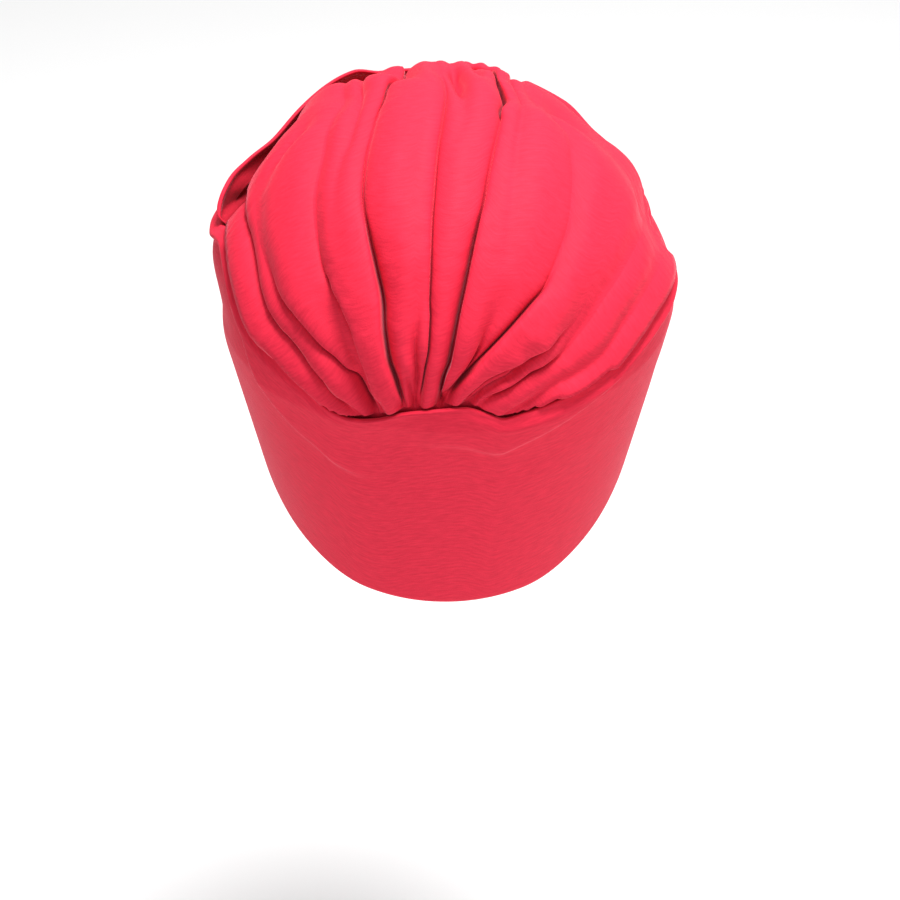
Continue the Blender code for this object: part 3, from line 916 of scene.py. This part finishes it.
def build_band():
    azimuth = np.linspace(-180, 180, BAND_SIDES, endpoint=False)
    top = seam(azimuth)
    low = hem(azimuth)
    outer, inner = [], []
    for out_down, out_height, in_down, in_height in BAND_TOP_ROLL:
        outer.append(skin(azimuth, top + out_down / MM_PER_TILT, out_height))
        inner.append(skin(azimuth, top + in_down / MM_PER_TILT, in_height))
    fold = low - HEM_ROUND / MM_PER_TILT
    whole = (fold - top) * MM_PER_TILT
    reach = np.minimum(BAND_TOP_REACH, whole * BAND_TOP_SHARE)
    start = BAND_TOP_ROLL[-1][0]
    downs = [start + (reach - start) * k / BAND_TOP_ROWS for k in range(1, BAND_TOP_ROWS + 1)]
    downs += [reach + (whole - reach) * k / BAND_ROWS for k in range(1, BAND_ROWS + 1)]
    for down in downs:
        high = band_height(azimuth, down)
        tilt = top + down / MM_PER_TILT
        outer.append(skin(azimuth, tilt, high))
        wall = BAND_WALL - THIN_AT_ROLL + THIN_AT_ROLL * ease(down / THIN_RUN)
        lag = INNER_LAG * np.exp(-down / INNER_LAG_FADE)
        inner.append(skin(azimuth, tilt + lag, np.minimum(high, BAND_HEIGHT) - wall))
    middle = high - BAND_WALL / 2
    for k in range(1, HEM_STEPS + 1):
        turn = math.pi / 2 * k / (HEM_STEPS + 1)
        tilt = fold + HEM_ROUND / MM_PER_TILT * math.sin(turn)
        half = BAND_WALL / 2 * math.cos(turn)
        outer.append(skin(azimuth, tilt, middle + half))
        inner.append(skin(azimuth, tilt, middle - half))
    outer = np.array(outer)
    places = np.stack([run_lengths(outer, 1), run_lengths(outer, 0)], -1)
    return cloth_piece("band_cloth", outer, np.array(inner), True, places)


def drape_rear_azimuth(side, along):
    """Azimuth of a drape's rolled rear edge, from the knot to the temple."""
    knot = KNOT_AZIMUTH - side * DRAPE_SPLIT
    temple = DRAPE_TEMPLE_LEFT if side > 0 else DRAPE_TEMPLE_RIGHT
    return knot + (temple - knot) * along


def drape_place(side, across, along):
    """Azimuth and tilt on a drape; side is 1 at the wearer's left and -1 at the right."""
    knot = drape_rear_azimuth(side, 0.0)
    temple = drape_rear_azimuth(side, 1.0)

    def at_knot(a):
        top = smooth(knot + 0 * a, DRAPE_EDGE)
        return flat(knot + 0 * a, top + (KNOT_LOW_TILT - top) * a)

    def at_seam(a):
        azimuth = temple + (knot - temple) * a
        return flat(azimuth, seam(azimuth) + TUCK)

    def rear(b):
        azimuth = drape_rear_azimuth(side, b)
        edge = smooth(azimuth, DRAPE_EDGE)
        down = ease(1 + (b - 1) / EDGE_TURN)
        return flat(azimuth, edge + (seam(azimuth) + TUCK - edge) * down)

    def front(b):
        azimuth = knot + 0 * b
        end = seam(azimuth) + TUCK
        return flat(azimuth, KNOT_LOW_TILT + (end - KNOT_LOW_TILT) * b)

    return unflat(blend_patch(at_knot, at_seam, rear, front, across, along))


def valley(distance, reach):
    """Depth of a soft crease, 1 on its line."""
    apart = np.abs(distance) / reach
    slot = np.exp(-apart / VALLEY_SLOT)
    hollow = np.exp(-((apart / VALLEY_SPREAD) ** VALLEY_CURVE))
    return VALLEY_SHARE * slot + (1 - VALLEY_SHARE) * hollow


def drape_heights(side, across, along, azimuth, tilt, width):
    """Heights of a drape's outer and inner faces."""
    height = DRAPE_LEVEL + DRAPE_FULLNESS * np.sin(np.pi * along) ** 2
    for at_knot, at_seam, depth, reach in DRAPE_FOLDS:
        place = (at_knot + (at_seam - at_knot) * along) / 100
        narrow = DRAPE_NARROW + (1 - DRAPE_NARROW) * ease(along / DRAPE_NARROW_RUN)
        distance = (across - place) * width
        height = height - depth * valley(distance, reach * narrow)
    height = np.maximum(height, DRAPE_LOWEST)
    x, y = across * DRAPE_WIDTH + side * DRAPE_WAVE_CELL[0], along * DRAPE_LENGTH
    height = height + DRAPE_WAVE * cloth_noise(x, y, DRAPE_WAVE_CELL, 7) * np.sin(np.pi * along)
    from_edge = across * width
    edge = drape_rear_azimuth(side, along)
    free = ease(along / ROLL_START) * ease((1 - along) / ROLL_END)
    lift = smooth(edge, DRAPE_EDGE, 2) * free
    height = height + lift * np.exp(-((from_edge / ROLL_REACH) ** 2))
    beside = np.abs(wrap(azimuth - KNOT_AZIMUTH)) * MM_PER_TILT * np.sin(np.radians(tilt))
    clear = ease((beside - KNOT_HALF_WIDTH - KNOT_MARGIN) / KNOT_CLEARANCE)
    height = height * clear + np.minimum(height, DRAPE_LEVEL) * (1 - clear)
    full = ROLL_BEAD_LEFT if side > 0 else ROLL_BEAD_RIGHT
    bead = full * free * clear * np.exp(-((from_edge / ROLL_WIDTH) ** 2))
    tuck = tucked(azimuth, tilt, DRAPE_TUCK_REACH)
    outer = height * (1 - tuck) + DRAPE_TUCK_HEIGHT * tuck
    wall = DRAPE_WALL + bead * (1 - tuck)
    rounding = np.sqrt(np.clip(1 - (1 - np.clip(from_edge / EDGE_ROUND, 0, 1)) ** 2, 0, 1))
    middle = outer - wall / 2
    half = wall / 2 * np.maximum(rounding, EDGE_LEAST)
    return middle + half, middle - half


def build_drape(name, side):
    along, across = np.meshgrid(
        1 - np.linspace(1, 0, DRAPE_ROWS + 1) ** ROW_GATHER,
        np.linspace(0, 1, DRAPE_COLUMNS + 1) ** COLUMN_GATHER,
        indexing="ij",
    )
    azimuth, tilt = drape_place(side, across, along)
    base = skin(azimuth, tilt, 0.0)
    width = run_lengths(base, 1)[:, -1:]
    high, low = drape_heights(side, across, along, azimuth, tilt, width)
    outer = skin(azimuth, tilt, high)
    places = np.stack([run_lengths(outer, 0), run_lengths(outer, 1)], -1)
    return cloth_piece(name, outer, skin(azimuth, tilt, low), False, places)


def build_knot():
    along, across = np.meshgrid(
        np.linspace(0, 1, KNOT_ROWS + 1),
        np.linspace(-1, 1, KNOT_COLUMNS + 1),
        indexing="ij",
    )
    foot = seam(KNOT_AZIMUTH) + KNOT_FOOT_BELOW_SEAM
    tilt = KNOT_TOP_TILT + (foot - KNOT_TOP_TILT) * along
    waist = 1 - KNOT_WAIST * np.sin(np.pi * along)
    spread = across * KNOT_HALF_WIDTH * waist / (MM_PER_TILT * np.sin(np.radians(tilt)))
    azimuth = KNOT_AZIMUTH + spread
    round_side = np.sqrt(np.clip(1 - across**2, 0, 1))
    inside = KNOT_END_SHARE + (1 - 2 * KNOT_END_SHARE) * along
    round_end = np.sin(np.pi * inside) ** KNOT_END_ROUND
    pleat = KNOT_PLEAT * np.cos(np.pi * KNOT_FOLDS * across) * round_side
    body = (KNOT_THICKNESS + pleat) * round_side**KNOT_SIDE_ROUND * round_end
    tuck = tucked(azimuth, tilt, KNOT_TUCK_REACH)
    high = KNOT_UNDERSIDE + KNOT_EDGE + body
    outer = skin(azimuth, tilt, high * (1 - tuck) + KNOT_TUCK_HEIGHT * tuck)
    low = KNOT_UNDERSIDE * (1 - tuck) + (KNOT_TUCK_HEIGHT - KNOT_EDGE) * tuck
    inner = skin(azimuth, tilt, low)
    places = np.stack([run_lengths(outer, 1), run_lengths(outer, 0)], -1)
    return cloth_piece("knot_cloth", outer, inner, False, places)


def linear(hex_colour):
    """Linear colour of an sRGB hex value."""
    parts = [int(hex_colour[i : i + 2], 16) / 255 for i in (0, 2, 4)]
    return (*[p / 12.92 if p <= 0.04045 else ((p + 0.055) / 1.055) ** 2.4 for p in parts], 1.0)


def add_node(tree, kind, links=(), **settings):
    """Adds a node; settings name its properties or sockets, links are (socket, output)."""
    node = tree.nodes.new(kind)
    for key, value in settings.items():
        if hasattr(node, key):
            setattr(node, key, value)
        else:
            node.inputs[key.replace("_", " ")].default_value = value
    for socket, output in links:
        tree.links.new(output, node.inputs[socket])
    return node


def viscose_jersey(name, fold, reach):
    """Fine single jersey of viscose: matte, with a soft sheen from its loops and faint
    streaks along its courses. Painted shade: where other cloth lies closer than reach (m),
    the colour is darkened towards fold, a painted shade colour. UV is in mm."""
    material = bpy.data.materials.new(name)
    material.use_nodes = True
    tree = material.node_tree
    shader = tree.nodes["Principled BSDF"]
    place = add_node(tree, "ShaderNodeUVMap", uv_map="cloth")
    course = add_node(
        tree,
        "ShaderNodeMapping",
        [("Vector", place.outputs["UV"])],
        Scale=(1 / STREAK_LENGTH, 1 / COURSE_SPACING, 1),
    )
    streaks = add_node(
        tree,
        "ShaderNodeTexNoise",
        [("Vector", course.outputs["Vector"])],
        Scale=1.0,
        Detail=3.0,
        Roughness=0.6,
    )
    loops = add_node(
        tree,
        "ShaderNodeTexNoise",
        [("Vector", place.outputs["UV"])],
        Scale=1 / LOOP_CELL,
        Detail=2.0,
        Roughness=0.7,
    )
    share = add_node(
        tree,
        "ShaderNodeMapRange",
        [("Value", streaks.outputs["Fac"])],
        From_Min=STREAK_RANGE[0],
        From_Max=STREAK_RANGE[1],
    )
    colour = add_node(
        tree,
        "ShaderNodeMixRGB",
        [("Fac", share.outputs["Result"])],
        Color1=linear(COLOUR_DEEP),
        Color2=linear(COLOUR_LIT),
    )
    relief = add_node(
        tree,
        "ShaderNodeMath",
        [(0, streaks.outputs["Fac"]), (1, loops.outputs["Fac"])],
        operation="ADD",
    )
    bump = add_node(
        tree,
        "ShaderNodeBump",
        [("Height", relief.outputs["Value"])],
        Strength=KNIT_STRENGTH,
        Distance=KNIT_HEIGHT,
    )
    # painted shade: ambient occlusion mixes the base colour towards the shade colour in creases and between
    # layers
    crease_shade_ao = add_node(tree, "ShaderNodeAmbientOcclusion", samples=CREASE_SHADE_SAMPLES, Distance=reach)
    unshaded_share = add_node(
        tree,
        "ShaderNodeMapRange",
        [("Value", crease_shade_ao.outputs["AO"])],
        From_Min=CREASE_SHADE_RANGE[0],
        From_Max=CREASE_SHADE_RANGE[1],
    )
    shaded = add_node(
        tree,
        "ShaderNodeMixRGB",
        [("Fac", unshaded_share.outputs["Result"]), ("Color2", colour.outputs["Color"])],
        Color1=linear(fold),
    )
    tree.links.new(shaded.outputs["Color"], shader.inputs["Base Color"])
    tree.links.new(bump.outputs["Normal"], shader.inputs["Normal"])
    shader.inputs["Roughness"].default_value = JERSEY_ROUGHNESS
    shader.inputs["IOR"].default_value = JERSEY_IOR
    shader.inputs["Specular IOR Level"].default_value = JERSEY_SPECULAR
    shader.inputs["Sheen Weight"].default_value = SHEEN_WEIGHT
    shader.inputs["Sheen Roughness"].default_value = SHEEN_ROUGHNESS
    shader.inputs["Sheen Tint"].default_value = linear(SHEEN_COLOUR)
    return material


def dress(piece, material, node):
    """Gives a piece its cloth, its body and the solid that it stands for."""
    piece.data.materials.append(material)
    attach(piece, "root")
    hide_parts(node)


def soft_light(name, place, size, power):
    light = bpy.data.lights.new(name, "AREA")
    light.shape = "DISK"
    light.size = size
    light.energy = power
    lamp = bpy.data.objects.new(name, light)
    lamp.location = place
    lamp.rotation_euler = (TARGET - lamp.location).to_track_quat("-Z", "Y").to_euler()
    bpy.context.scene.collection.objects.link(lamp)


def build_camera():
    back = Vector((0, math.cos(CAMERA_ELEVATION), math.sin(CAMERA_ELEVATION)))
    data = bpy.data.cameras.new("camera")
    data.sensor_width = CAMERA_SENSOR
    data.lens = CAMERA_LENS
    data.shift_x, data.shift_y = CAMERA_SHIFT
    camera = bpy.data.objects.new("camera", data)
    camera.location = TARGET + CAMERA_DISTANCE * back
    camera.rotation_euler = (TARGET - camera.location).to_track_quat("-Z", "Y").to_euler()
    bpy.context.scene.collection.objects.link(camera)
    bpy.context.scene.camera = camera


def build_studio():
    build_camera()
    bpy.ops.mesh.primitive_plane_add(size=FLOOR_SIZE, location=(0, 0, FLOOR_LEVEL))
    floor = bpy.context.object
    floor.name = "floor"
    card = bpy.data.materials.new("white_card")
    card.use_nodes = True
    shader = card.node_tree.nodes["Principled BSDF"]
    shader.inputs["Base Color"].default_value = linear(FLOOR_COLOUR)
    shader.inputs["Roughness"].default_value = FLOOR_ROUGHNESS
    floor.data.materials.append(card)
    for light in LIGHTS:
        soft_light(*light)
    world = bpy.data.worlds.new("studio")
    bpy.context.scene.world = world
    world.use_nodes = True
    sky = world.node_tree.nodes["Background"]
    sky.inputs["Color"].default_value = (1.0, 1.0, 1.0, 1.0)
    sky.inputs["Strength"].default_value = WORLD_STRENGTH
    bpy.context.scene.view_settings.view_transform = "Standard"


def build_hat():
    # both materials paint shade into creases; the drapes' copy paints darker shade that reaches further,
    # into the hollows under their rolled edges
    jersey = viscose_jersey("viscose_jersey", CREASE_SHADE_COLOUR, CREASE_SHADE_REACH)
    rolled = viscose_jersey("viscose_jersey_deep_painted_shade", ROLLED_EDGE_SHADE_COLOUR, ROLLED_EDGE_SHADE_REACH)
    crown = build_crown()
    band = build_band()
    left = build_drape("drape_left_cloth", 1)
    right = build_drape("drape_right_cloth", -1)
    knot = build_knot()
    dress(crown, jersey, "crown")
    dress(band, jersey, "band")
    dress(left, rolled, "drape_left")
    dress(right, rolled, "drape_right")
    dress(knot, jersey, "knot")


build_hat()
build_studio()
